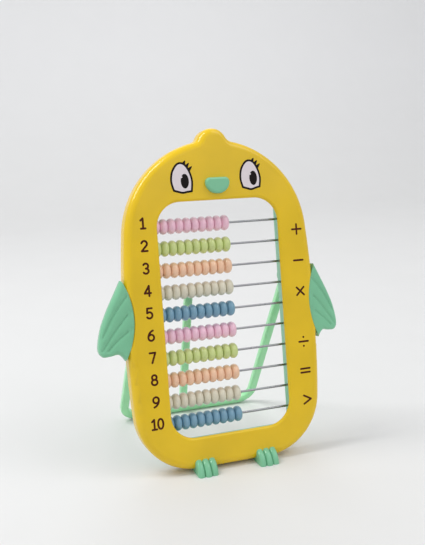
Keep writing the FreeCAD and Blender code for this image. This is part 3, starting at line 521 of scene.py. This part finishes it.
def make_eye(side, sign):
    """A printed eye: black outline and lashes, white, pupil and glint."""
    across = sign * EYE_SPACING
    outline = eye_outline(across, EYE_HEIGHT, 0.9 if sign < 0 else 0.1)
    lashes = []
    for x, z, reach, turn in LASHES:
        along = (math.cos(math.radians(turn)), math.sin(math.radians(turn)))
        root = (across + x, EYE_HEIGHT + z)
        half = (-along[1] * LASH_WIDTH / 2, along[0] * LASH_WIDTH / 2)
        lashes.append([(root[0] + half[0], root[1] + half[1]), (root[0] - half[0], root[1] - half[1]),
                       (root[0] + reach * along[0], root[1] + reach * along[1])])

    def black(x, z):
        edge = area_distance(x, z, outline) - EYE_LINE / 2
        hairs = np.minimum.reduce([area_distance(x, z, lash) for lash in lashes]) - LASH_TIP / 2
        return np.minimum(edge, hairs)

    def white(x, z):
        return area_distance(x, z, outline) + EYE_LINE / 2

    pupil_centre = (across + PUPIL_PLACE[0], EYE_HEIGHT + PUPIL_PLACE[1])
    pupil_outline = arc(pupil_centre, PUPIL_HALF_WIDTH, 0, 360, tall=PUPIL_HALF_HEIGHT, steps=60)[:-1]
    glint_centre = (across + GLINT_PLACE[0], EYE_HEIGHT + GLINT_PLACE[1])

    def pupil(x, z):
        return area_distance(x, z, pupil_outline)

    def glint(x, z):
        return np.hypot(x - glint_centre[0], z - glint_centre[1]) - GLINT_RADIUS

    middle = (across, EYE_HEIGHT)
    eye_plate(f"{side}_eye_outline", black, middle, OUTLINE_LEVEL, INK_BLACK)
    eye_plate(f"{side}_eye_white", white, middle, WHITE_LEVEL, INK_WHITE)
    eye_plate(f"{side}_eye_pupil", pupil, middle, PUPIL_LEVEL, INK_BLACK)
    eye_plate(f"{side}_eye_glint", glint, middle, GLINT_LEVEL, INK_WHITE)


# ---------------------------------------------------------------- wings

WING_EDGE = [(66.4, 128.4), (71.2, 119.2), (76.6, 108.6), (80.9, 98.0), (83.2, 86.6),
             (81.2, 81.4), (76.2, 81.2), (71.4, 81.9), (68.6, 79.6), (66.6, 76.2)]
WING_REACH = 60.2         # the wing springs from an arc whose middle is this far across
WING_HEIGHT = 103.4
WING_BEND = 52.0          # radius of that arc
WING_FRONT = 0.3
WING_THICKNESS = 8.4
WING_SWEEP = math.radians(11.0)
WING_ROUND = 2.6
FEATHER_LINES = [[(63.5, 118.7), (69.5, 111.5), (75.5, 102.5), (80.3, 93.3)],
                 [(62.6, 108.1), (68.5, 101.8), (75.0, 93.6), (80.9, 85.4)],
                 [(62.1, 97.7), (67.5, 94.0), (73.0, 89.6), (77.5, 85.0)]]
SIDE_REACH = 65.6         # the panel's widest half width, and the height and radius of its side
SIDE_HEIGHT = 88.0
SIDE_BEND = 700.0
SIDE_ROUND = 4.8
SEAT_DEPTH = 1.2
WING_SEAM = 0.3
WING_SKIN = 0.2           # the wing is nowhere thinner than this
GROOVE_DEPTH = 0.9
GROOVE_LINE = (0.65, 0.55)     # share of the groove's depth in its narrow line, and that line's width
GROOVE_HOLLOW = (0.35, 1.7)    # the same for the wide hollow around it
WING_CELL = 0.4
WING_BOTTOM = 74.0             # the wing is drawn between these heights
WING_TOP = 131.0
SEAM_DEPTH = 0.3


def make_wing(side, sign):
    """A wing: a swept plate with a soft rim, swollen between three fanned feather lines."""
    rim = rounded(WING_EDGE, closed=False)
    lines = [rounded(line, closed=False) for line in FEATHER_LINES]
    centre = WING_REACH + WING_BEND

    def outline(x, z):
        beyond_arc = np.hypot(x - centre, z - WING_HEIGHT) - WING_BEND + WING_SEAM
        closed = rim + [(WING_REACH - WING_ROUND, rim[-1][1]), (WING_REACH - WING_ROUND, rim[0][1])]
        return np.maximum(area_distance(x, z, closed), beyond_arc)

    def swept(x):
        return WING_FRONT + (x - WING_REACH) * math.tan(WING_SWEEP)

    def rim_drop(x, z):
        """How far the soft rim has fallen away, and how close the place is to it."""
        free = np.minimum(path_distance(x, z, rim), WING_ROUND)
        return WING_ROUND - np.sqrt(WING_ROUND ** 2 - (WING_ROUND - free) ** 2), free / WING_ROUND

    def behind(x, z):
        x = x * sign
        inside = SIDE_REACH - (z - SIDE_HEIGHT) ** 2 / (2 * SIDE_BEND) - x
        bend = SIDE_ROUND - np.clip(inside, 0, SIDE_ROUND)
        skin = np.maximum(SIDE_ROUND - np.sqrt(SIDE_ROUND ** 2 - bend ** 2), SEAT_DEPTH)
        return np.where(inside > 0, skin, swept(x) + WING_THICKNESS - rim_drop(x, z)[0])

    def front(x, z, inset):
        limit = behind(x, z) - WING_SKIN
        x = x * sign
        drop, free = rim_drop(x, z)
        groove = np.zeros(x.shape)
        for line in lines:
            near = path_distance(x, z, line)
            line_part = GROOVE_LINE[0] * np.exp(-(near / GROOVE_LINE[1]) ** 2)
            hollow_part = GROOVE_HOLLOW[0] * np.exp(-(near / GROOVE_HOLLOW[1]) ** 2)
            groove = np.maximum(groove, GROOVE_DEPTH * (line_part + hollow_part))
        seam = SEAM_DEPTH * np.exp(-inset / SEAM_DEPTH) * (free >= 1)
        return np.minimum(swept(x) + drop + groove * free + seam, limit)

    tip = max(x for x, z in WING_EDGE)
    span = sorted((sign * (WING_REACH - 1), sign * (tip + 2))) + [WING_BOTTOM, WING_TOP]
    wing = plate(f"{side}_wing_sculpted", lambda x, z: outline(x * sign, z), span, WING_CELL, front, behind,
                 PAINT["mint_plastic"], "frame")
    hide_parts(f"{side}_wing")


# ---------------------------------------------------------------- feet

TOE_SHARE = 0.34          # width of one toe as a share of the foot's width
TOE_CROWN = 4.0           # where the toe levels out, millimetres behind the panel's front edge
TOE_NIP = 0.35            # the groove between two toes is this much sharper than the ridges
TOE_FULLNESS = 2.6        # 2 would make a toe's ridge round; a larger number makes it squarer
TOE_STEP = 0.5            # the middle toe reaches this much further forward, millimetres
TOE_SLICES = 16
TOE_STEPS = 14


def toe_profile(reach, back, height, drop):
    """Side view of a toe: sole tip, a rising arc, a level top and the heel; drop insets its top and front."""
    run = reach + TOE_CROWN - drop
    tall = height - drop
    bend = (run * run + tall * tall) / (2 * tall)
    turn = math.atan2(run, bend - tall)
    angles = [turn * (1 - step / TOE_STEPS) for step in range(TOE_STEPS + 1)]
    points = [(TOE_CROWN - bend * math.sin(a), tall - bend + bend * math.cos(a)) for a in angles]
    return points + [(back, tall), (back, 0.0)]


def make_foot(side):
    """Three rounded ridges side by side, as large as the foot's box."""
    low, high = (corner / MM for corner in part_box(f"{side}_foot"))
    width = high.x - low.x
    middle = (high.x + low.x) / 2
    front_edge = ORIGIN.y / MM
    reach = front_edge - low.y
    back = high.y - front_edge
    half = width * TOE_SHARE / 2
    shape = bmesh.new()
    for toe in (-1, 0, 1):
        centre = middle + toe * (width / 2 - half)
        rings = []
        for cut in range(TOE_SLICES + 1):
            across = math.sin(math.pi * (cut / TOE_SLICES - 0.5))
            ridge = 1 - math.sqrt(max(0, 1 - abs(across) ** TOE_FULLNESS))
            drop = half * ridge * (1 - TOE_NIP * (1 - abs(across)))
            outline = toe_profile(reach - abs(toe) * TOE_STEP, back, high.z, drop)
            rings.append([shape.verts.new(Vector((centre + across * half, front_edge + y, z)) * MM)
                          for y, z in outline])
        for left, right in zip(rings, rings[1:]):
            count = len(left)
            for index in range(count):
                following = (index + 1) % count
                shape.faces.new((left[index], left[following], right[following], right[index]))
        shape.faces.new(rings[0][::-1])
        shape.faces.new(rings[-1])
    bmesh.ops.recalc_face_normals(shape, faces=shape.faces)
    foot = add_piece(f"{side}_foot_toes", shape, PAINT["mint_plastic"], "frame", crease=50)
    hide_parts(f"{side}_foot")


# ---------------------------------------------------------------- floor, light and camera

TARGET = panel(-16.9, 129.52, -26.53)
DISTANCE = 472.7 * MM
YAW = math.radians(20.6)
PITCH = math.radians(13.58)
ROLL = math.radians(-0.23)
LENS = 51.76
# The floor and its backdrop, in metres.
FLOOR_FRONT = -2.5
FLOOR_BACK = 1.6
FLOOR_HALF_WIDTH = 3.5
FLOOR_BEND = 0.7
FLOOR_STEPS = 24
BACKDROP_TOP = 3.0
PALING_HEIGHT = 0.3       # the floor's colour has become the backdrop's at this height
# Each lamp: its place and what it faces in metres, its size across and along, and its power.
MIDDLE = (0, 0, 0.1)
LAMPS = (
    ("key", (-0.75, 0.15, 1.15), MIDDLE, (0.3, 0.9), 10),
    ("front", (0.5, -1.3, 0.9), MIDDLE, (0.9, 0.9), 1.5),
    ("back", (0.4, 1.3, 1.4), MIDDLE, (0.9, 0.9), 3),
    ("wash", (0.9, -0.4, 1.4), (1.2, 1.6, 0.5), (1.2, 1.2), 9),
)
SKY_COLOUR = (0.96, 0.97, 1.0, 1)
SKY_STRENGTH = 0.66


def make_floor():
    """A pale table that curves up into a backdrop."""
    finish = Finish("pale_floor")
    clouds = finish.noise(60, detail=2)
    grain = finish.noise(1.2, detail=2)
    split = finish.add("ShaderNodeSeparateXYZ")
    finish.link(finish.place, split.inputs["Vector"])
    height = finish.spread(split.outputs["Z"], 0, 1, 0.0, PALING_HEIGHT)
    pale = finish.mix(height, linear(218, 218, 217), linear(224, 224, 224))
    finish.feed(Base_Color=finish.mix(finish.spread(clouds, 0, 0.03), pale, linear(255, 255, 255)),
                Normal=finish.bump(grain, 0.01))
    finish.set(Roughness=0.6)
    shape = bmesh.new()
    start = FLOOR_BACK - FLOOR_BEND
    angles = [math.radians(90 * step / FLOOR_STEPS) for step in range(1, FLOOR_STEPS + 1)]
    profile = [(FLOOR_FRONT, 0.0), (start, 0.0)]
    profile += [(start + FLOOR_BEND * math.sin(a), FLOOR_BEND - FLOOR_BEND * math.cos(a)) for a in angles]
    profile.append((FLOOR_BACK, BACKDROP_TOP))
    sides = (-FLOOR_HALF_WIDTH, FLOOR_HALF_WIDTH)
    strips = [[shape.verts.new((x, y, z)) for x in sides] for y, z in profile]
    for low, high in zip(strips, strips[1:]):
        shape.faces.new((low[0], low[1], high[1], high[0]))
    mesh = bpy.data.meshes.new("floor")
    shape.to_mesh(mesh)
    shape.free()
    mesh.shade_smooth()
    mesh.materials.append(finish.material)
    floor = bpy.data.objects.new("floor", mesh)
    bpy.context.scene.collection.objects.link(floor)


def add_light(name, place, aim, size, power):
    """A soft box, its size given across and along, that faces the place it is aimed at."""
    lamp = bpy.data.lights.new(name, "AREA")
    lamp.shape = "RECTANGLE"
    lamp.size, lamp.size_y = size
    lamp.energy = power
    holder = bpy.data.objects.new(name, lamp)
    holder.location = Vector(place)
    holder.rotation_mode = "QUATERNION"
    holder.rotation_quaternion = (Vector(aim) - holder.location).to_track_quat("-Z", "Y")
    bpy.context.scene.collection.objects.link(holder)


def light_scene():
    world = bpy.data.worlds.new("studio")
    world.use_nodes = True
    sky = world.node_tree.nodes["Background"]
    sky.inputs["Color"].default_value = SKY_COLOUR
    sky.inputs["Strength"].default_value = SKY_STRENGTH
    bpy.context.scene.world = world
    for lamp in LAMPS:
        add_light(*lamp)


def make_camera():
    data = bpy.data.cameras.new("camera")
    data.lens = LENS
    data.clip_start = 0.02
    data.clip_end = 20
    camera = bpy.data.objects.new("camera", data)
    turn = Matrix.Rotation(-YAW, 4, "Z") @ Matrix.Rotation(math.pi / 2 - PITCH, 4, "X")
    camera.matrix_world = turn @ Matrix.Rotation(ROLL, 4, "Z")
    camera.location = TARGET + turn.to_3x3() @ Vector((0, 0, DISTANCE))
    bpy.context.scene.collection.objects.link(camera)
    bpy.context.scene.camera = camera


# ---------------------------------------------------------------- the whole scene

paint_frame()
print_marks()
for which, direction in SIDES:
    make_eye(which, direction)
    make_wing(which, direction)
    make_foot(which)
make_floor()
light_scene()
make_camera()
bpy.context.scene.view_settings.view_transform = "Standard"
